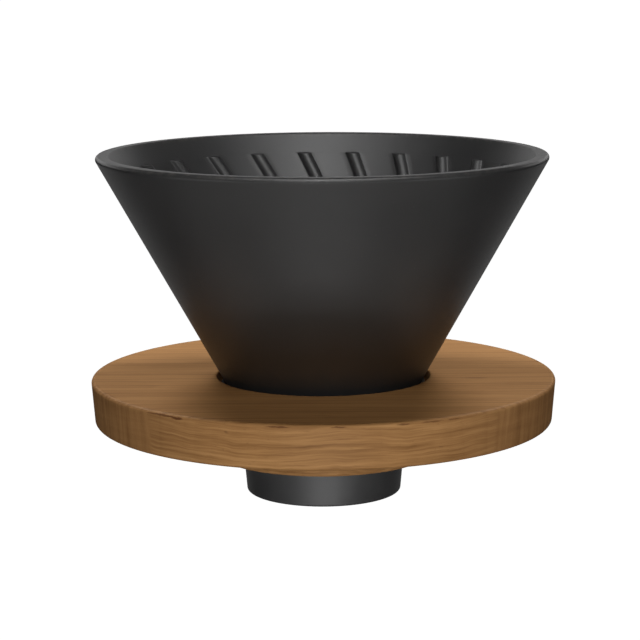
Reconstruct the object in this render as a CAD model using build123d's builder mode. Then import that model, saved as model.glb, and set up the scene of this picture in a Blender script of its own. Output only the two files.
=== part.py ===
from build123d import *
import math
import os

# A pour-over dripper: a ribbed ceramic cone whose neck drops through a turned
# wooden collar.  A silicone liner seats the cone in the collar, and a silicone
# band pushed on to the neck from below holds the collar on.
# Millimetres, +Z up, origin on the axis at the underside of the band, on which
# the dripper stands.

# ---- cone ----
RIM_RADIUS = 58.0          # outside radius of the rim
TOTAL_HEIGHT = 88.4        # underside of the band to the top of the rim
HALF_ANGLE = 29.12         # slope of the wall from the axis, degrees
WALL = 3.4                 # wall thickness, square to the wall
LIP_OUTER = 0.9            # rounding of the rim, outside edge
LIP_INNER = 0.7            # rounding of the rim, inside edge
NECK_RADIUS = 18.0         # outside radius of the plain neck
NECK_BOTTOM = 0.6          # the neck ends just above the underside of the band
SKIRT_BORE = 15.0          # inside radius of the neck below the cone's wall
OUTLET_RADIUS = 10.0       # drip hole
OUTLET_BOTTOM = 4.5        # underside of the drip nozzle
NOZZLE_RADIUS = 12.9       # outside radius of the drip nozzle

# ---- ribs on the inside wall ----
RIB_COUNT = 24             # every second one is short
RIB_TOP = 83.2             # height of the ribs' square-cut upper ends
RIB_PHASE = 5.67           # direction of a rib's upper end, degrees from +X
RIB_LEAN = 23.0            # lean from the wall's slope line, clockwise going down
RIB_HALF_WIDTH = 1.55
RIB_HEIGHT = 1.5
RIB_FOOT_HALF_WIDTH = 1.0  # the long ribs grow finer towards the drip hole
RIB_FOOT_HEIGHT = 0.9
LONG_RIB_FOOT = 11.6       # radius where the long ribs end
SHORT_RIB_FOOT = 27.0      # radius where the short ribs end

# ---- wooden collar ----
COLLAR_TOP = 30.6
COLLAR_UNDERSIDE = 19.2
COLLAR_TOP_RADIUS = 60.3
COLLAR_UNDERSIDE_RADIUS = 59.4
SPIGOT_RADIUS = 29.3       # boss that drops into the mouth of a server
SPIGOT_BOTTOM = 10.2
COLLAR_BORE = 18.4         # plain lower bore around the neck
SEAT_MOUTH = 27.9          # mouth of the conical seat at the collar's top face

# ---- silicone liner in the conical seat ----
LINER_TOP = 28.8
LINER_BOTTOM = 17.2
LINER_GAP = 0.2            # free of the cone by this, square to the wall
LINER_FIT = 0.06           # and of the collar's seat by this

# ---- silicone band on the neck ----
BAND_TOP = 10.1
BAND_BOTTOM_RADIUS = 20.1
BAND_TOP_RADIUS = 21.0
BAND_BORE = 18.06

BETA = math.radians(HALF_ANGLE)
SLOPE = math.tan(BETA)
WALL_LEVEL = WALL / math.cos(BETA)  # wall thickness measured along a radius

# The outside wall is tangent to the rim's rounding, whose outermost point is at
# RIM_RADIUS.
LIP_CENTRE_R = RIM_RADIUS - LIP_OUTER
LIP_CENTRE_Z = TOTAL_HEIGHT - LIP_OUTER


def outside(z):
    """Radius of the cone's outside wall at height z."""
    return LIP_CENTRE_R + (z - LIP_CENTRE_Z) * SLOPE + LIP_OUTER / math.cos(BETA)


def inside(z):
    """Radius of the cone's inside wall at height z."""
    return outside(z) - WALL_LEVEL


def height_of_inside(radius):
    """Height at which the inside wall has this radius."""
    return LIP_CENTRE_Z + (radius + WALL_LEVEL - LIP_CENTRE_R - LIP_OUTER / math.cos(BETA)) / SLOPE


def height_of_outside(radius):
    """Height at which the outside wall has this radius."""
    return height_of_inside(radius - WALL_LEVEL)


def corner(vertices, r, z):
    """The vertex of a profile that is nearest to radius r, height z."""
    return vertices.sort_by_distance((r, z, 0))[0]


# ---------------------------------------------------------------- ribs
def rib_station(radius, start_radius):
    """Plane across a rib where the inside wall has this radius; its Y is square to the wall."""
    turn = math.tan(math.radians(RIB_LEAN)) / math.sin(BETA) * math.log(start_radius / radius)
    a = math.radians(RIB_PHASE) - turn
    c, s = math.cos(a), math.sin(a)
    down = Vector(-math.sin(BETA) * c, -math.sin(BETA) * s, -math.cos(BETA))
    around = Vector(s, -c, 0)
    lean = math.radians(RIB_LEAN)
    along = down * math.cos(lean) + around * math.sin(lean)
    normal = Vector(-math.cos(BETA) * c, -math.cos(BETA) * s, math.sin(BETA))
    return Plane(
        origin=(radius * c, radius * s, height_of_inside(radius)),
        x_dir=normal.cross(along),
        z_dir=along,
    )


RIB_START = inside(RIB_TOP)


def rib_radii(foot, count):
    """Radii of the stations, from above the square-cut end down to the foot."""
    top = inside(RIB_TOP + 3.0)
    return [top * (foot / top) ** (i / (count - 1)) for i in range(count)]


def rib_size(radius):
    """Half width and height of a rib where the inside wall has this radius."""
    t = min(1.0, max(0.0, (SHORT_RIB_FOOT - radius) / (SHORT_RIB_FOOT - LONG_RIB_FOOT)))
    return (
        RIB_HALF_WIDTH + (RIB_FOOT_HALF_WIDTH - RIB_HALF_WIDTH) * t,
        RIB_HEIGHT + (RIB_FOOT_HEIGHT - RIB_HEIGHT) * t,
    )


with BuildPart() as long_rib:
    for radius in rib_radii(LONG_RIB_FOOT, 13):
        with BuildSketch(rib_station(radius, RIB_START)):
            Ellipse(*rib_size(radius))
    loft()
    split(bisect_by=Plane.XY.offset(RIB_TOP), keep=Keep.BOTTOM)

with BuildPart() as short_rib:
    for radius in rib_radii(SHORT_RIB_FOOT, 8):
        with BuildSketch(rib_station(radius, RIB_START)):
            Ellipse(*rib_size(radius))
    loft()
    split(bisect_by=Plane.XY.offset(RIB_TOP), keep=Keep.BOTTOM)

# ---------------------------------------------------------------- cone body
Z_NECK = height_of_outside(NECK_RADIUS)
Z_OUTLET = height_of_inside(OUTLET_RADIUS)
Z_SKIRT = height_of_inside(SKIRT_BORE - WALL_LEVEL)
Z_NOZZLE = height_of_inside(NOZZLE_RADIUS - WALL_LEVEL)

with BuildPart() as cone_body:
    with BuildSketch(Plane.XZ) as cone_profile:
        with BuildLine():
            Polyline(
                (NECK_RADIUS, NECK_BOTTOM),
                (NECK_RADIUS, Z_NECK),
                (outside(TOTAL_HEIGHT), TOTAL_HEIGHT),
                (inside(TOTAL_HEIGHT), TOTAL_HEIGHT),
                (OUTLET_RADIUS, Z_OUTLET),
                (OUTLET_RADIUS, OUTLET_BOTTOM),
                (NOZZLE_RADIUS, OUTLET_BOTTOM),
                (NOZZLE_RADIUS, Z_NOZZLE),
                (SKIRT_BORE, Z_SKIRT),
                (SKIRT_BORE, NECK_BOTTOM),
                close=True,
            )
        make_face()
        fillet(corner(cone_profile.vertices(), outside(TOTAL_HEIGHT), TOTAL_HEIGHT), LIP_OUTER)
        fillet(corner(cone_profile.vertices(), inside(TOTAL_HEIGHT), TOTAL_HEIGHT), LIP_INNER)
        fillet(corner(cone_profile.vertices(), NECK_RADIUS, NECK_BOTTOM), 0.8)
        fillet(corner(cone_profile.vertices(), SKIRT_BORE, NECK_BOTTOM), 0.8)
        fillet(corner(cone_profile.vertices(), NOZZLE_RADIUS, OUTLET_BOTTOM), 0.9)
        fillet(corner(cone_profile.vertices(), OUTLET_RADIUS, OUTLET_BOTTOM), 0.6)
        fillet(corner(cone_profile.vertices(), SKIRT_BORE, Z_SKIRT), 0.8)
        fillet(corner(cone_profile.vertices(), NECK_RADIUS, Z_NECK), 4.0)
    revolve(axis=Axis.Z)
    with PolarLocations(0, RIB_COUNT // 2):
        add(long_rib.part)
    with PolarLocations(0, RIB_COUNT // 2, start_angle=360 / RIB_COUNT):
        add(short_rib.part)

# ---------------------------------------------------------------- wooden collar
SEAT_LEVEL = SEAT_MOUTH - outside(COLLAR_TOP)  # gap between cone and seat along a radius
Z_SEAT_FOOT = height_of_outside(COLLAR_BORE - SEAT_LEVEL)

with BuildPart() as wooden_collar:
    with BuildSketch(Plane.XZ) as collar_profile:
        with BuildLine():
            Polyline(
                (COLLAR_BORE, SPIGOT_BOTTOM),
                (SPIGOT_RADIUS, SPIGOT_BOTTOM),
                (SPIGOT_RADIUS, COLLAR_UNDERSIDE),
                (COLLAR_UNDERSIDE_RADIUS, COLLAR_UNDERSIDE),
                (COLLAR_TOP_RADIUS, COLLAR_TOP),
                (SEAT_MOUTH, COLLAR_TOP),
                (COLLAR_BORE, Z_SEAT_FOOT),
                close=True,
            )
        make_face()
        fillet(corner(collar_profile.vertices(), COLLAR_TOP_RADIUS, COLLAR_TOP), 0.9)
        fillet(corner(collar_profile.vertices(), COLLAR_UNDERSIDE_RADIUS, COLLAR_UNDERSIDE), 0.9)
        fillet(corner(collar_profile.vertices(), SPIGOT_RADIUS, SPIGOT_BOTTOM), 0.8)
        fillet(corner(collar_profile.vertices(), SPIGOT_RADIUS, COLLAR_UNDERSIDE), 0.6)
        fillet(corner(collar_profile.vertices(), SEAT_MOUTH, COLLAR_TOP), 0.6)
        fillet(corner(collar_profile.vertices(), COLLAR_BORE, SPIGOT_BOTTOM), 0.4)
    revolve(axis=Axis.Z)

# ---------------------------------------------------------------- seat liner
LINER_IN = LINER_GAP / math.cos(BETA)
LINER_OUT = SEAT_LEVEL - LINER_FIT / math.cos(BETA)

with BuildPart() as seat_liner:
    with BuildSketch(Plane.XZ) as liner_profile:
        with BuildLine():
            Polyline(
                (outside(LINER_BOTTOM) + LINER_IN, LINER_BOTTOM),
                (outside(LINER_BOTTOM) + LINER_OUT, LINER_BOTTOM),
                (outside(LINER_TOP) + LINER_OUT, LINER_TOP),
                (outside(LINER_TOP) + LINER_IN, LINER_TOP),
                close=True,
            )
        make_face()
        fillet(liner_profile.vertices(), 0.3)
    revolve(axis=Axis.Z)

# ---------------------------------------------------------------- retaining band
with BuildPart() as retaining_band:
    with BuildSketch(Plane.XZ) as band_profile:
        with BuildLine():
            Polyline(
                (BAND_BORE, 0),
                (BAND_BOTTOM_RADIUS, 0),
                (BAND_TOP_RADIUS, BAND_TOP),
                (BAND_BORE, BAND_TOP),
                close=True,
            )
        make_face()
        fillet(corner(band_profile.vertices(), BAND_BOTTOM_RADIUS, 0), 0.7)
        fillet(corner(band_profile.vertices(), BAND_TOP_RADIUS, BAND_TOP), 0.35)
        fillet(corner(band_profile.vertices(), BAND_BORE, 0), 0.35)
        fillet(corner(band_profile.vertices(), BAND_BORE, BAND_TOP), 0.35)
    revolve(axis=Axis.Z)

# ---------------------------------------------------------------- output
os.makedirs("parts", exist_ok=True)
for name, piece in (
    ("cone_body", cone_body),
    ("wooden_collar", wooden_collar),
    ("seat_liner", seat_liner),
    ("retaining_band", retaining_band),
):
    piece.part.label = name
    export_step(piece.part, f"parts/{name}.step")
    print(name, len(piece.part.solids()), "solid", round(piece.part.volume), "mm3", piece.part.is_valid)
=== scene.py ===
import math

import bpy
import numpy as np
from mathutils import Matrix, Vector


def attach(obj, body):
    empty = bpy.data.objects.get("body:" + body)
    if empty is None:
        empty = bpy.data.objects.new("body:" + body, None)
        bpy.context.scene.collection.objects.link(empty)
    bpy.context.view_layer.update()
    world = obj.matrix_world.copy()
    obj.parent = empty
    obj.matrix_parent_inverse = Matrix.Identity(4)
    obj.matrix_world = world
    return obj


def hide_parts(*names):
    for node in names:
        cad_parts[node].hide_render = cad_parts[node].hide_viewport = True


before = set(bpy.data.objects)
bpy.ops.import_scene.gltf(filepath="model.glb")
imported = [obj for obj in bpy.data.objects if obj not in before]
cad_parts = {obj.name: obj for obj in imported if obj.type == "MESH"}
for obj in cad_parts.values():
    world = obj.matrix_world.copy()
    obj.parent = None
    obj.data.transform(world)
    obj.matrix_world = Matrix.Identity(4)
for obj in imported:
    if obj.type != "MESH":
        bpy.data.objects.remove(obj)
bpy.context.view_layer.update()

MM = 0.001

# ------------------------------------------------------------------ sizes, mm
RIM_RADIUS = 58.0
TOTAL_HEIGHT = 88.4
BETA = math.radians(29.12)
WALL = 3.4
LIP_OUTER = 0.9
LIP_INNER = 0.7
NECK_RADIUS = 18.0
NECK_BOTTOM = 0.6
SKIRT_BORE = 15.0
OUTLET_RADIUS = 10.0
OUTLET_BOTTOM = 4.5
NOZZLE_RADIUS = 12.9
RIB_COUNT = 24
RIB_TOP = 83.2
RIB_PHASE = math.radians(5.67)
RIB_LEAN = math.radians(23.0)
LONG_RIB_FOOT = 11.6
SHORT_RIB_FOOT = 27.0

SLOPE = math.tan(BETA)
WALL_LEVEL = WALL / math.cos(BETA)
LIP_CENTRE_R = RIM_RADIUS - LIP_OUTER
LIP_CENTRE_Z = TOTAL_HEIGHT - LIP_OUTER


def outside(z):
    return LIP_CENTRE_R + (z - LIP_CENTRE_Z) * SLOPE + LIP_OUTER / math.cos(BETA)


def inside(z):
    return outside(z) - WALL_LEVEL


def height_of_inside(radius):
    return LIP_CENTRE_Z + (radius + WALL_LEVEL - LIP_CENTRE_R - LIP_OUTER / math.cos(BETA)) / SLOPE


def height_of_outside(radius):
    return height_of_inside(radius - WALL_LEVEL)


# ------------------------------------------------------------------ mesh helpers
def rounded(corners, closed=True, arc_step=14.0):
    """A profile of points from corners (r, z, radius): each corner is replaced by an arc."""
    n = len(corners)
    out = []
    for i, (r, z, fr) in enumerate(corners):
        p = np.array([r, z], float)
        if fr <= 0:
            out.append(p)
            continue
        a = np.array(corners[i - 1][:2], float) - p
        b = np.array(corners[(i + 1) % n][:2], float) - p
        a /= np.linalg.norm(a)
        b /= np.linalg.norm(b)
        half = math.acos(max(-1, min(1, float(a @ b)))) / 2
        reach = fr / math.tan(half)
        centre = p + (a + b) / np.linalg.norm(a + b) * fr / math.sin(half)
        s = p + a * reach - centre
        e = p + b * reach - centre
        a0 = math.atan2(s[1], s[0])
        sweep = (math.atan2(e[1], e[0]) - a0 + math.pi) % (2 * math.pi) - math.pi
        k = max(3, int(abs(math.degrees(sweep)) / arc_step) + 1)
        for j in range(k + 1):
            t = a0 + sweep * j / k
            out.append(centre + fr * np.array([math.cos(t), math.sin(t)]))
    return out


def divided(points, longest, closed=True):
    """Extra points along every run of the profile that is longer than this, denser beside its ends."""
    out = []
    n = len(points)
    for i in range(n if closed else n - 1):
        p, q = points[i], points[(i + 1) % n]
        out.append(p)
        d = float(np.linalg.norm(q - p))
        if d > longest:
            edge = min(0.35, d * 0.1)
            k = int(math.ceil((d - 2 * edge) / longest))
            for s in np.linspace(edge, d - edge, k + 1):
                out.append(p + (q - p) * s / d)
    if not closed:
        out.append(points[-1])
    return out


def grid_mesh(name, co, body, node):
    """A closed surface from co[row, column, 3] in millimetres; rows and columns both wrap round."""
    rows, cols = co.shape[:2]
    idx = np.arange(rows * cols).reshape(rows, cols)
    a = idx
    b = np.roll(idx, -1, 1)
    c = np.roll(np.roll(idx, -1, 0), -1, 1)
    d = np.roll(idx, -1, 0)
    faces = np.stack([a, b, c, d], -1).reshape(-1, 4)
    mesh = bpy.data.meshes.new(name)
    mesh.from_pydata((co.reshape(-1, 3) * MM).tolist(), [], faces.tolist())
    mesh.validate()
    mesh.polygons.foreach_set("use_smooth", np.ones(len(mesh.polygons), bool))
    mesh.update()
    obj = bpy.data.objects.new(name, mesh)
    bpy.context.scene.collection.objects.link(obj)
    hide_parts(node)
    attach(obj, body)
    return obj


def revolved(name, profile, columns, body, node):
    """profile runs so that the solid is on its left seen with r to the right and z up."""
    ang = np.arange(columns) * 2 * math.pi / columns
    pr = np.array(profile)
    co = np.empty((len(pr), columns, 3))
    co[..., 0] = pr[:, 0, None] * np.cos(ang)[None]
    co[..., 1] = pr[:, 0, None] * np.sin(ang)[None]
    co[..., 2] = pr[:, 1, None]
    co = co[::-1]
    return grid_mesh(name, co, body, node)


# ------------------------------------------------------------------ cone
Z_NECK = height_of_outside(NECK_RADIUS)
Z_OUTLET = height_of_inside(OUTLET_RADIUS)
Z_SKIRT = height_of_inside(SKIRT_BORE - WALL_LEVEL)
Z_NOZZLE = height_of_inside(NOZZLE_RADIUS - WALL_LEVEL)

# Across one rib, as distance from its middle and height over the wall: an
# elliptical crest whose foot sweeps into the wall with a small radius.
HALF = [(0.0, 1.0), (0.26, 0.966), (0.5, 0.866), (0.68, 0.733), (0.82, 0.572), (0.91, 0.415),
        (0.97, 0.262), (1.03, 0.135), (1.12, 0.05), (1.26, 0.0)]
GAP_STEPS = 6


def smooth(t):
    t = np.clip(t, 0, 1)
    return t * t * (3 - 2 * t)


def rib_size(radius, is_long):
    """Half width, height and share of the height at this radius of the inside wall."""
    t = np.clip((SHORT_RIB_FOOT - radius) / (SHORT_RIB_FOOT - LONG_RIB_FOOT), 0, 1)
    w = 1.55 + (1.0 - 1.55) * t
    h = 1.5 + (0.9 - 1.5) * t
    if is_long:
        end = smooth((radius - LONG_RIB_FOOT) / 1.6)
    else:
        end = smooth((radius - SHORT_RIB_FOOT) / 2.4)
    return w, h * np.sqrt(end)


def turn(radius):
    return math.tan(RIB_LEAN) / math.sin(BETA) * math.log(inside(RIB_TOP) / radius)


def rib_row(z_wall, level=1.0, sink=0.0, shear=0.0):
    """One row of the inside wall. level scales the ribs, sink takes this much off them, and
    shear (0 to 1) slides the row down under the crest, so the upper end is cut level."""
    half_sector = math.pi / RIB_COUNT
    row = []
    for k in range(RIB_COUNT):
        middle = RIB_PHASE + k * 2 * half_sector
        radius0 = inside(z_wall)
        w, h = rib_size(radius0, k % 2 == 0)
        reach = half_sector * radius0 * math.cos(RIB_LEAN)
        fit = min(1.0, 0.93 * reach / (HALF[-1][0] * w))
        across = [(-d * w * fit, f) for d, f in HALF[::-1]] + [(d * w * fit, f) for d, f in HALF[1:]]
        edge = HALF[-1][0] * w * fit
        gaps = [(edge + (2 * reach - 2 * edge) * j / GAP_STEPS, 0.0) for j in range(1, GAP_STEPS)]
        for d, f in across + gaps:
            rise = max(0.0, f * h * level - sink * min(1.0, f * 3))
            z = z_wall - rise * math.sin(BETA) * shear
            radius = inside(z)
            a = middle - turn(radius) + d / (radius0 * math.cos(RIB_LEAN))
            r = radius - rise * math.cos(BETA)
            row.append((r * math.cos(a), r * math.sin(a), z + rise * math.sin(BETA)))
    return row


def plain_row(r, z, radius):
    """A row on a surface of revolution whose columns follow those of the inside wall at this radius."""
    half_sector = math.pi / RIB_COUNT
    row = []
    for k in range(RIB_COUNT):
        middle = RIB_PHASE + k * 2 * half_sector
        w, h = rib_size(radius, k % 2 == 0)
        reach = half_sector * radius * math.cos(RIB_LEAN)
        fit = min(1.0, 0.93 * reach / (HALF[-1][0] * w))
        edge = HALF[-1][0] * w * fit
        across = [-d * w * fit for d, f in HALF[::-1]] + [d * w * fit for d, f in HALF[1:]]
        gaps = [edge + (2 * reach - 2 * edge) * j / GAP_STEPS for j in range(1, GAP_STEPS)]
        for d in across + gaps:
            a = middle - turn(radius) + d / (radius * math.cos(RIB_LEAN))
            row.append((r * math.cos(a), r * math.sin(a), z))
    return row


rows = []
# neck, outside wall and rim
outer = rounded([
    (SKIRT_BORE, NECK_BOTTOM, 0.8),
    (NECK_RADIUS, NECK_BOTTOM, 0.8),
    (NECK_RADIUS, Z_NECK, 4.0),
    (outside(TOTAL_HEIGHT), TOTAL_HEIGHT, LIP_OUTER),
    (inside(TOTAL_HEIGHT), TOTAL_HEIGHT, LIP_INNER),
    (inside(RIB_TOP + 3.0), RIB_TOP + 3.0, 0),
    (inside(RIB_TOP + 1.0), RIB_TOP + 1.0, 0),
    (OUTLET_RADIUS, Z_OUTLET, 0),
    (OUTLET_RADIUS, OUTLET_BOTTOM, 0.6),
    (NOZZLE_RADIUS, OUTLET_BOTTOM, 0.9),
    (NOZZLE_RADIUS, Z_NOZZLE, 0),
    (SKIRT_BORE, Z_SKIRT, 0.8),
], arc_step=11.0)
start = next(i for i, p in enumerate(outer) if abs(p[1] - (RIB_TOP + 1.0)) < 1e-6)
stop = next(i for i, p in enumerate(outer) if abs(p[1] - Z_OUTLET) < 1e-6)
upper = divided(outer[: start + 1], 2.4, closed=False)
lower = divided(outer[stop:] + [outer[0]], 2.0, closed=False)[:-1]
for r, z in upper:
    rows.append(plain_row(r, z, inside(RIB_TOP + 1.0)))
# inside wall, from above the ribs down
rows.append(plain_row(inside(RIB_TOP + 0.35), RIB_TOP + 0.35, inside(RIB_TOP + 0.35)))
rows.append(rib_row(RIB_TOP + 0.10, level=0.015, shear=1.0))
rows.append(rib_row(RIB_TOP + 0.02, level=0.06, shear=1.0))
rows.append(rib_row(RIB_TOP, level=0.16, shear=1.0))
rows.append(rib_row(RIB_TOP, level=0.55, shear=1.0))
rows.append(rib_row(RIB_TOP, sink=0.10, shear=1.0))
rows.append(rib_row(RIB_TOP - 0.03, sink=0.03, shear=1.0))
rows.append(rib_row(RIB_TOP - 0.09, sink=0.006, shear=1.0))
rows.append(rib_row(RIB_TOP - 0.18, shear=0.99))
zs = [RIB_TOP - 0.55]
while zs[-1] > Z_OUTLET + 0.9:
    zs.append(zs[-1] - (0.45 if zs[-1] > RIB_TOP - 3 else 1.0 if zs[-1] > 20 else 0.7))
for z in zs:
    if z < Z_OUTLET + 0.15:
        break
    rows.append(rib_row(z, shear=float(smooth((z - (RIB_TOP - 5.0)) / 5.0)) * 0.95))
for r, z in lower:
    rows.append(plain_row(r, z, OUTLET_RADIUS))
cone = grid_mesh("ribbed_cone", np.array(rows), "cone", "cone_body")

# ------------------------------------------------------------------ collar, liner, band
COLLAR_TOP = 30.6
COLLAR_UNDERSIDE = 19.2
SEAT_LEVEL = 27.9 - outside(COLLAR_TOP)
Z_SEAT_FOOT = height_of_outside(18.4 - SEAT_LEVEL)
collar_profile = divided(rounded([
    (18.4, 10.2, 0.4),
    (29.3, 10.2, 0.8),
    (29.3, COLLAR_UNDERSIDE, 0.6),
    (59.4, COLLAR_UNDERSIDE, 0.9),
    (60.3, COLLAR_TOP, 0.9),
    (27.9, COLLAR_TOP, 0.6),
    (18.4, Z_SEAT_FOOT, 0),
], arc_step=9.0), 2.5)
collar = revolved("turned_collar", collar_profile, 480, "collar", "wooden_collar")

LINER_IN = 0.2 / math.cos(BETA)
LINER_OUT = SEAT_LEVEL - 0.06 / math.cos(BETA)
liner_profile = divided(rounded([
    (outside(17.2) + LINER_IN, 17.2, 0.3),
    (outside(17.2) + LINER_OUT, 17.2, 0.3),
    (outside(28.8) + LINER_OUT, 28.8, 0.3),
    (outside(28.8) + LINER_IN, 28.8, 0.3),
], arc_step=18.0), 1.5)
liner = revolved("silicone_liner", liner_profile, 360, "collar", "seat_liner")

band_profile = divided(rounded([
    (18.06, 0.0, 0.35),
    (20.1, 0.0, 0.7),
    (21.0, 10.1, 0.35),
    (18.06, 10.1, 0.35),
], arc_step=12.0), 0.9)
band = revolved("silicone_band", band_profile, 360, "band", "retaining_band")


# ------------------------------------------------------------------ material helpers
class Nodes:
    def __init__(self, name):
        self.mat = bpy.data.materials.new(name)
        self.mat.use_nodes = True
        self.tree = self.mat.node_tree
        self.tree.nodes.clear()
        self.out = self.add("ShaderNodeOutputMaterial")
        self.bsdf = self.add("ShaderNodeBsdfPrincipled")
        self.link(self.bsdf.outputs[0], self.out.inputs[0])
        self.tex = self.add("ShaderNodeTexCoord")

    def add(self, kind, **props):
        n = self.tree.nodes.new(kind)
        for k, v in props.items():
            setattr(n, k, v)
        return n

    def link(self, a, b):
        self.tree.links.new(a, b)

    def put(self, sock, value):
        if isinstance(value, bpy.types.NodeSocket):
            self.link(value, sock)
        else:
            sock.default_value = value

    def mapping(self, vec, scale=(1, 1, 1), loc=(0, 0, 0), rot=(0, 0, 0)):
        m = self.add("ShaderNodeMapping")
        self.link(vec, m.inputs["Vector"])
        m.inputs["Scale"].default_value = scale
        m.inputs["Location"].default_value = loc
        m.inputs["Rotation"].default_value = rot
        return m.outputs[0]

    def math(self, op, a, b=0.0, c=None, clamp=False):
        m = self.add("ShaderNodeMath", operation=op, use_clamp=clamp)
        self.put(m.inputs[0], a)
        self.put(m.inputs[1], b)
        if c is not None:
            self.put(m.inputs[2], c)
        return m.outputs[0]

    def noise(self, vec, scale, detail=3.0, rough=0.55, distortion=0.0, dims="3D"):
        n = self.add("ShaderNodeTexNoise", noise_dimensions=dims)
        if dims == "1D":
            self.put(n.inputs["W"], vec)
        else:
            self.link(vec, n.inputs["Vector"])
        n.inputs["Scale"].default_value = scale
        n.inputs["Detail"].default_value = detail
        n.inputs["Roughness"].default_value = rough
        n.inputs["Distortion"].default_value = distortion
        return n

    def remap(self, v, lo, hi, to_lo=0.0, to_hi=1.0, kind="SMOOTHSTEP"):
        m = self.add("ShaderNodeMapRange", interpolation_type=kind)
        self.put(m.inputs["Value"], v)
        m.inputs["From Min"].default_value = lo
        m.inputs["From Max"].default_value = hi
        m.inputs["To Min"].default_value = to_lo
        m.inputs["To Max"].default_value = to_hi
        return m.outputs[0]

    def ramp(self, v, stops, interp="LINEAR"):
        r = self.add("ShaderNodeValToRGB")
        r.color_ramp.interpolation = interp
        el = r.color_ramp.elements
        while len(el) < len(stops):
            el.new(0.5)
        for e, (p, c) in zip(el, stops):
            e.position = p
            e.color = (*c, 1.0) if len(c) == 3 else c
        self.put(r.inputs[0], v)
        return r.outputs[0]

    def mix(self, f, a, b, blend="MIX"):
        m = self.add("ShaderNodeMix", data_type="RGBA", blend_type=blend)
        self.put(m.inputs[0], f)
        for s, v in ((m.inputs[6], a), (m.inputs[7], b)):
            if isinstance(v, bpy.types.NodeSocket):
                self.link(v, s)
            else:
                s.default_value = (*v, 1.0)
        return m.outputs[2]

    def xyz(self, vec):
        s = self.add("ShaderNodeSeparateXYZ")
        self.link(vec, s.inputs[0])
        return s.outputs

    def bump(self, height, strength, distance, normal=None):
        b = self.add("ShaderNodeBump")
        self.put(b.inputs["Height"], height)
        b.inputs["Strength"].default_value = strength
        b.inputs["Distance"].default_value = distance
        if normal is not None:
            self.link(normal, b.inputs["Normal"])
        return b.outputs[0]

    def set(self, name, value):
        self.put(self.bsdf.inputs[name], value)


def paint(obj, mat):
    obj.data.materials.clear()
    obj.data.materials.append(mat)


# ------------------------------------------------------------------ matte black glaze
def ceramic_material():
    n = Nodes("matte_black_glaze")
    p = n.mapping(n.tex.outputs["Object"], (1000, 1000, 1000))
    cloud = n.noise(p, 0.045, 3, 0.5).outputs[0]
    grain = n.noise(p, 2.6, 4, 0.6).outputs[0]
    fine = n.noise(p, 7.0, 2, 0.5).outputs[0]
    speck = n.remap(n.noise(p, 1.15, 2, 0.4).outputs[0], 0.70, 0.78)
    base = n.mix(n.remap(cloud, 0.3, 0.7), (0.0215, 0.0212, 0.0215), (0.0265, 0.0260, 0.0260))
    base = n.mix(n.math("MULTIPLY", speck, 0.35), base, (0.045, 0.043, 0.042))
    # the glaze draws thin over the rim and shows a little of the body
    z = n.xyz(p)[2]
    rim = n.remap(z, TOTAL_HEIGHT - 1.2, TOTAL_HEIGHT - 0.1)
    thin = n.math("MULTIPLY", rim, n.remap(n.noise(p, 0.5, 4, 0.65).outputs[0], 0.42, 0.7))
    base = n.mix(n.math("MULTIPLY", thin, 0.5), base, (0.075, 0.068, 0.062))
    n.set("Base Color", base)
    rough = n.math("ADD", n.remap(grain, 0.25, 0.75, -0.035, 0.035, "LINEAR"), n.remap(cloud, 0.3, 0.7, 0.48, 0.52, "LINEAR"))
    px, py, pz = n.xyz(p)
    radius = n.math("SQRT", n.math("ADD", n.math("MULTIPLY", px, px), n.math("MULTIPLY", py, py)))
    worn = n.math("MULTIPLY", n.remap(z, TOTAL_HEIGHT - 1.5, TOTAL_HEIGHT - 0.9), n.remap(radius, RIM_RADIUS - 0.9, RIM_RADIUS - 0.4))
    n.set("Roughness", n.math("SUBTRACT", rough, n.math("MULTIPLY", worn, 0.11)))
    n.set("IOR", 1.55)
    h = n.math("ADD", n.math("MULTIPLY", grain, 0.7), n.math("MULTIPLY", fine, 0.3))
    n.set("Normal", n.bump(h, 0.10, 0.00012, n.bump(cloud, 0.25, 0.0004)))
    return n.mat


def silicone_material():
    n = Nodes("black_silicone")
    p = n.mapping(n.tex.outputs["Object"], (1000, 1000, 1000))
    cloud = n.noise(p, 0.09, 3, 0.5).outputs[0]
    grain = n.noise(p, 3.4, 3, 0.6).outputs[0]
    dust = n.remap(n.noise(p, 1.9, 2, 0.5).outputs[0], 0.69, 0.8)
    base = n.mix(n.remap(cloud, 0.3, 0.7), (0.020, 0.020, 0.0205), (0.026, 0.026, 0.0265))
    base = n.mix(n.math("MULTIPLY", dust, 0.25), base, (0.07, 0.068, 0.065))
    n.set("Base Color", base)
    n.set("Roughness", n.remap(grain, 0.25, 0.75, 0.53, 0.61, "LINEAR"))
    n.set("IOR", 1.58)
    n.set("Normal", n.bump(grain, 0.12, 0.00010, n.bump(cloud, 0.2, 0.0003)))
    return n.mat


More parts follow.
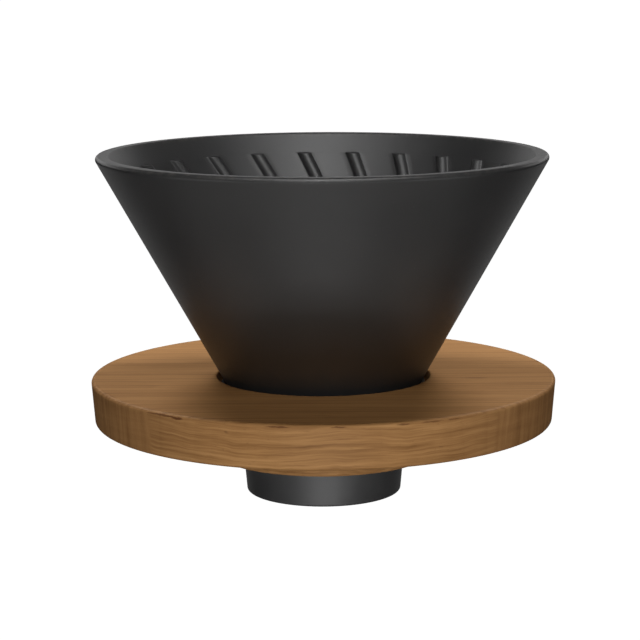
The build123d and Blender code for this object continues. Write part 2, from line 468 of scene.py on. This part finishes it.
# ------------------------------------------------------------------ oiled hardwood, fibres along X
def wood_material():
    n = Nodes("oiled_hardwood")
    obj = n.tex.outputs["Object"]
    p = n.mapping(obj, (1000, 1000, 1000))
    # where the fibres come out endways, on the faces that look along X
    nx = n.math("ABSOLUTE", n.xyz(n.tex.outputs["Normal"])[0])
    ends = n.remap(nx, 0.690, 0.712)
    # the fibres wander gently, so their lines wave
    wander = n.noise(n.mapping(obj, (13, 40, 40), (3.1, 0.4, 1.7)), 1.0, 2, 0.5)
    warp = n.add("ShaderNodeVectorMath", operation="SUBTRACT")
    n.link(wander.outputs["Color"], warp.inputs[0])
    warp.inputs[1].default_value = (0.5, 0.5, 0.5)
    scaled = n.add("ShaderNodeVectorMath", operation="MULTIPLY")
    n.link(warp.outputs[0], scaled.inputs[0])
    scaled.inputs[1].default_value = (0.0, 2.2, 5.0)
    q = n.add("ShaderNodeVectorMath", operation="ADD")
    n.link(p, q.inputs[0])
    n.link(scaled.outputs[0], q.inputs[1])
    q = q.outputs[0]
    x, y, z = n.xyz(q)
    # growth layers, nearly square to Y
    rho = n.math("ADD", y, n.math("MULTIPLY", z, 0.10))
    wide = n.noise(n.math("MULTIPLY", rho, 0.16), 1.0, 2, 0.5, dims="1D").outputs[0]
    rings = n.math("ADD", n.math("DIVIDE", rho, 2.3), n.math("MULTIPLY", wide, 2.6))
    f = n.math("FRACT", rings)
    late = n.math("MULTIPLY", n.remap(f, 0.25, 0.90), n.remap(f, 0.90, 1.0, 1.0, 0.0))
    which = n.noise(n.math("FLOOR", rings), 3.7, 0, 0.5, dims="1D").outputs[0]
    late = n.math("MULTIPLY", late, n.remap(which, 0.3, 0.7, 0.25, 1.0))
    # on the front and back the layers lie along the surface, and only fibres show
    ny = n.math("ABSOLUTE", n.xyz(n.tex.outputs["Normal"])[1])
    late = n.math("MULTIPLY", late, n.remap(ny, 0.45, 0.85, 1.0, 0.15))
    # fibres and pores drawn out along X, and along Z on the ends
    fibre_long = n.noise(n.mapping(q, (0.030, 1.15, 1.15)), 1.0, 4, 0.60).outputs[0]
    fibre_end = n.noise(n.mapping(p, (0.030, 0.62, 0.035), (4, 1, 0)), 1.0, 4, 0.60).outputs[0]
    # round the rim the fibres run out along the turned face
    px, py, pz = n.xyz(p)
    along = n.math("MULTIPLY", n.math("ARCTAN2", px, n.math("ABSOLUTE", py)), 60.0)
    behind = n.remap(py, -2.0, 2.0)
    side = n.add("ShaderNodeCombineXYZ")
    n.link(along, side.inputs[0])
    n.link(n.math("MULTIPLY", behind, 70.0), side.inputs[1])
    n.link(pz, side.inputs[2])
    side = side.outputs[0]
    sway = n.noise(n.mapping(side, (0.030, 1.0, 0.05), (6, 2, 1)), 1.0, 2, 0.5).outputs[0]
    ripple = n.noise(n.mapping(side, (0.13, 1.0, 0.16), (2, 5, 8)), 1.0, 2, 0.5).outputs[0]
    lift = n.math("ADD", n.math("MULTIPLY", n.math("SUBTRACT", sway, 0.5), 4.5), n.math("MULTIPLY", n.math("SUBTRACT", ripple, 0.5), 1.1))
    waved = n.add("ShaderNodeCombineXYZ")
    n.link(along, waved.inputs[0])
    n.link(n.math("MULTIPLY", behind, 70.0), waved.inputs[1])
    n.link(n.math("ADD", pz, lift), waved.inputs[2])
    waved = waved.outputs[0]
    fibre_side = n.noise(n.mapping(waved, (0.040, 1.0, 1.20), (3, 0, 5)), 1.0, 4, 0.62).outputs[0]
    nz = n.math("ABSOLUTE", n.xyz(n.tex.outputs["Normal"])[2])
    rim = n.remap(nz, 0.75, 0.35)

    def blend(f, a, b):
        m = n.add("ShaderNodeMix", data_type="FLOAT")
        n.put(m.inputs[0], f)
        n.put(m.inputs[2], a)
        n.put(m.inputs[3], b)
        return m.outputs[0]

    fibre = blend(ends, blend(rim, fibre_long, n.remap(fibre_side, 0.3, 0.7, 0.12, 0.88, "LINEAR")), fibre_end)
    thread_top = n.noise(n.mapping(q, (0.055, 4.6, 4.6), (5, 2, 9)), 1.0, 3, 0.6).outputs[0]
    thread_side = n.noise(n.mapping(waved, (0.10, 1.0, 3.6), (1, 0, 2)), 1.0, 3, 0.6).outputs[0]
    thread = blend(n.math("MULTIPLY", rim, n.math("SUBTRACT", 1.0, ends)), thread_top, n.remap(thread_side, 0.0, 1.0, -0.3, 1.3, "LINEAR"))
    pore = n.remap(n.noise(n.mapping(q, (0.14, 3.0, 3.0), (1, 7, 3)), 1.0, 2, 0.5).outputs[0], 0.64, 0.76)
    bands_top = n.noise(n.mapping(q, (0.010, 0.16, 0.24), (2, 3, 4)), 1.0, 3, 0.55).outputs[0]
    bands_side = n.noise(n.mapping(waved, (0.018, 1.0, 0.26), (7, 0, 4)), 1.0, 3, 0.55).outputs[0]
    bands = blend(rim, bands_top, bands_side)
    fleck = n.remap(n.noise(n.mapping(q, (0.055, 0.55, 0.75), (8, 1, 6)), 1.0, 1, 0.4).outputs[0], 0.755, 0.84)
    # short dark checks just under the top edge at the front
    fray = n.noise(n.mapping(side, (0.9, 1.0, 3.0), (1, 1, 1)), 1.0, 2, 0.5).outputs[0]
    checks = None
    for at, half, level, thick, depth in CHECKS:
        du = n.math("DIVIDE", n.math("SUBTRACT", along, at), half)
        tilt = n.math("MULTIPLY", n.math("SUBTRACT", fray, 0.5), 0.5)
        dv = n.math("DIVIDE", n.math("ADD", n.math("SUBTRACT", pz, level), tilt), thick)
        d = n.math("ADD", n.math("MULTIPLY", du, du), n.math("MULTIPLY", dv, dv))
        one = n.math("MULTIPLY", n.remap(d, 1.0, 0.25), depth)
        checks = one if checks is None else n.math("MAXIMUM", checks, one)
    checks = n.math("MULTIPLY", checks, n.math("SUBTRACT", 1.0, behind))
    tone = n.math("ADD", n.math("MULTIPLY", late, 0.17), n.math("MULTIPLY", fibre, 0.72))
    tone = n.math("ADD", tone, n.math("MULTIPLY", thread, 0.22))
    tone = n.math("ADD", tone, n.math("MULTIPLY", n.remap(bands, 0.3, 0.7, -1.0, 1.0, "LINEAR"), n.math("MULTIPLY_ADD", rim, 0.05, 0.07)))
    color = n.ramp(tone, [
        (0.24, WOOD[0]),
        (0.42, WOOD[1]),
        (0.60, WOOD[2]),
        (0.85, WOOD[3]),
    ])
    color = n.mix(n.math("MULTIPLY", pore, 0.30), color, WOOD_PORE)
    color = n.mix(n.math("MULTIPLY", fleck, 0.75), color, WOOD_PORE)
    color = n.mix(checks, color, WOOD_CHECK)
    # the end grain drinks more oil and goes darker
    soak = n.remap(nx, 0.25, 0.80)
    color = n.mix(n.math("MULTIPLY", soak, 0.22), color, WOOD_END)
    n.set("Base Color", color)
    rough = n.math("ADD", n.remap(fibre, 0.25, 0.75, 0.60, 0.52, "LINEAR"), n.math("MULTIPLY", pore, 0.15))
    rough = n.math("ADD", rough, n.math("MULTIPLY", ends, 0.08))
    n.set("Roughness", rough)
    n.set("IOR", 1.45)
    n.set("Specular IOR Level", 0.06)
    h = n.math("SUBTRACT", n.math("MULTIPLY", thread, 0.5), n.math("MULTIPLY", pore, 0.9))
    h = n.math("ADD", h, n.math("MULTIPLY", fibre, 0.35))
    n.set("Normal", n.bump(h, 0.16, 0.0002))
    return n.mat


WOOD = [(0.286, 0.152, 0.059), (0.242, 0.124, 0.046), (0.193, 0.095, 0.034), (0.120, 0.054, 0.018)]
# middle along the rim, half length, level, half thickness (all mm) and strength
CHECKS = [(-42.0, 7.0, 30.02, 0.28, 0.75), (-37.4, 2.2, 29.86, 0.40, 0.9), (-10.8, 3.6, 29.95, 0.22, 0.7),
          (3.5, 2.2, 30.0, 0.20, 0.65), (19.1, 2.1, 29.95, 0.22, 0.65), (26.4, 3.5, 30.0, 0.20, 0.6), (32.6, 2.1, 29.95, 0.2, 0.6)]
WOOD_CHECK = (0.060, 0.020, 0.008)
WOOD_PORE = (0.085, 0.038, 0.017)
WOOD_END = (0.12, 0.058, 0.026)
ceramic = ceramic_material()
silicone = silicone_material()
wood = wood_material()
paint(cone, ceramic)
paint(collar, wood)
paint(liner, silicone)
paint(band, silicone)
for node, mat in (("cone_body", ceramic), ("wooden_collar", wood), ("seat_liner", silicone), ("retaining_band", silicone)):
    paint(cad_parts[node], mat)


# ------------------------------------------------------------------ floor
def floor_material():
    n = Nodes("pale_floor")
    p = n.mapping(n.tex.outputs["Object"], (1, 1, 1))
    n.set("Base Color", n.mix(n.noise(p, 3.0, 3, 0.5).outputs[0], (0.60, 0.60, 0.60), (0.62, 0.62, 0.62)))
    n.set("Roughness", 0.95)
    n.set("Specular IOR Level", 0.0)
    n.set("Emission Color", (1, 1, 1, 1))
    n.set("Emission Strength", FLOOR_GLOW)
    return n.mat


FLOOR_GLOW = 1.02
floor_mesh = bpy.data.meshes.new("floor")
S = 40.0
floor_mesh.from_pydata([(-S, -S, 0), (S, -S, 0), (S, S, 0), (-S, S, 0)], [], [(0, 1, 2, 3)])
floor = bpy.data.objects.new("floor", floor_mesh)
bpy.context.scene.collection.objects.link(floor)
floor.location.z = -0.060   # low enough that the collar and band show when they are slid down
paint(floor, floor_material())
# a pale wall all round, far off, so that the horizon never shows
wall_mesh = bpy.data.meshes.new("far_wall")
N = 64
ring = [(math.cos(2 * math.pi * i / N), math.sin(2 * math.pi * i / N)) for i in range(N)]
wall_mesh.from_pydata(
    [(7.5 * c, 7.5 * t, -0.5) for c, t in ring] + [(7.5 * c, 7.5 * t, 6.0) for c, t in ring] + [(0, 0, 6.0)],
    [],
    [(i, (i + 1) % N, N + (i + 1) % N, N + i) for i in range(N)] + [(N + i, N + (i + 1) % N, 2 * N) for i in range(N)])
wall = bpy.data.objects.new("far_wall", wall_mesh)
bpy.context.scene.collection.objects.link(wall)
paint(wall, floor.data.materials[0])
for o in (floor, wall):   # neither throws light on to the black cone or takes any from it
    o.visible_diffuse = False
    o.visible_glossy = False
    o.visible_shadow = False


# ------------------------------------------------------------------ light
def panel(name, azimuth, elevation, distance, width, height, power, spread=180):
    """A soft panel that faces the object. Azimuth 0 is behind the camera, and 180 is behind the object."""
    a, e = math.radians(azimuth), math.radians(elevation)
    target = Vector((0, 0, 0.045))
    at = target + distance * Vector((math.sin(a) * math.cos(e), -math.cos(a) * math.cos(e), math.sin(e)))
    data = bpy.data.lights.new(name, "AREA")
    data.energy = power
    data.shape = "RECTANGLE"
    data.size = width
    data.size_y = height
    data.spread = math.radians(spread)
    o = bpy.data.objects.new(name, data)
    o.location = at
    o.rotation_euler = (target - at).to_track_quat("-Z", "Y").to_euler()
    o.visible_camera = False
    bpy.context.scene.collection.objects.link(o)
    return o


def only_on(light, *objects):
    """This light falls on these pieces alone."""
    group = bpy.data.collections.new("lit_by_" + light.name)
    for o in objects:
        group.objects.link(o)
    light.light_linking.receiver_collection = group


AMBIENT = 0.03
only_on(panel("back_low", 180, 16, 1.5, 4.4, 0.45, 7.2), cone, band)
only_on(panel("back_under", 180, -24, 1.5, 2.4, 0.8, 2.4), cone, band)
only_on(panel("front_cone", 0, 16, 1.5, 0.9, 0.4, 5.6), cone)
only_on(panel("front_steep", 3, 62, 1.5, 1.8, 0.4, 12.6), cone, liner)
only_on(panel("front_spot", 3, 50, 1.5, 0.3, 0.3, 5.2), cone, liner)
only_on(panel("front_under", 0, -34, 1.5, 0.9, 0.8, 3.2), cone, liner, band)
only_on(panel("front_below", 0, -54, 1.5, 1.2, 0.5, 3.0), cone, liner, band)
only_on(panel("flank_left", -62, -30, 1.5, 0.9, 0.8, 3.0), cone)
only_on(panel("flank_right", 62, -30, 1.5, 0.9, 0.8, 3.0), cone)
only_on(panel("front_band", 0, -5, 1.5, 1.2, 0.7, 19.0), band)
only_on(panel("back_left", -143, 52, 1.5, 0.4, 0.3, 24.5), collar)
only_on(panel("back_right", 143, 52, 1.5, 0.4, 0.3, 24.5), collar)
only_on(panel("high_wood", 0, 46, 1.5, 1.2, 0.7, 11.5), collar)
only_on(panel("front_wood", 2, -20, 1.5, 0.5, 0.8, 21.5), collar)
# warm light thrown back up by the wood on to the foot of the cone
for k in range(24):
    a = math.radians(15 * k + 7.5)
    data = bpy.data.lights.new("wood_bounce", "AREA")
    data.shape = "DISK"
    data.size = 0.016
    data.energy = 0.00012 * (1.0 - 0.82 * abs(math.sin(a)))
    data.color = (1.0, 0.44, 0.07)
    o = bpy.data.objects.new("wood_bounce", data)
    o.location = (0.0385 * math.sin(a), -0.0385 * math.cos(a), 0.0315)
    o.rotation_euler = (math.pi, 0, 0)
    o.visible_camera = False
    bpy.context.scene.collection.objects.link(o)
    only_on(o, cone)

world = bpy.data.worlds.new("studio")
bpy.context.scene.world = world
world.use_nodes = True
wt = world.node_tree
wt.nodes.clear()
wout = wt.nodes.new("ShaderNodeOutputWorld")
wbg = wt.nodes.new("ShaderNodeBackground")
wt.links.new(wbg.outputs[0], wout.inputs[0])
wbg.inputs[1].default_value = AMBIENT
# soft light, full strength from above the floor and weaker from below
wco = wt.nodes.new("ShaderNodeTexCoord")
wsep = wt.nodes.new("ShaderNodeSeparateXYZ")
wmap = wt.nodes.new("ShaderNodeMapRange")
wt.links.new(wco.outputs["Generated"], wsep.inputs[0])
wt.links.new(wsep.outputs[2], wmap.inputs["Value"])
wmap.inputs["From Min"].default_value = -0.25
wmap.inputs["From Max"].default_value = 0.25
wmap.inputs["To Min"].default_value = 0.12
wmap.inputs["To Max"].default_value = 1.0
wt.links.new(wmap.outputs[0], wbg.inputs[0])

# ------------------------------------------------------------------ camera
cam_data = bpy.data.cameras.new("camera")
cam = bpy.data.objects.new("camera", cam_data)
bpy.context.scene.collection.objects.link(cam)
bpy.context.scene.camera = cam
cam_data.sensor_width = 36.0
cam_data.lens = 2207.84 * 36.0 / 640.0
cam_data.clip_start = 0.01
cam_data.clip_end = 200
yaw, pitch, roll = -0.0014, 0.1776, -0.0057
F = Vector((math.sin(yaw) * math.cos(pitch), math.cos(yaw) * math.cos(pitch), -math.sin(pitch)))
R = Vector((math.cos(yaw), -math.sin(yaw), 0))
U = R.cross(F)
R2 = math.cos(roll) * R + math.sin(roll) * U
U2 = -math.sin(roll) * R + math.cos(roll) * U
m = Matrix((R2, U2, -F)).transposed().to_4x4()
m.translation = Vector((0, -0.564695, 0.146173))
cam.matrix_world = m

bpy.context.scene.view_settings.view_transform = "Standard"
bpy.context.scene.view_settings.look = "None"
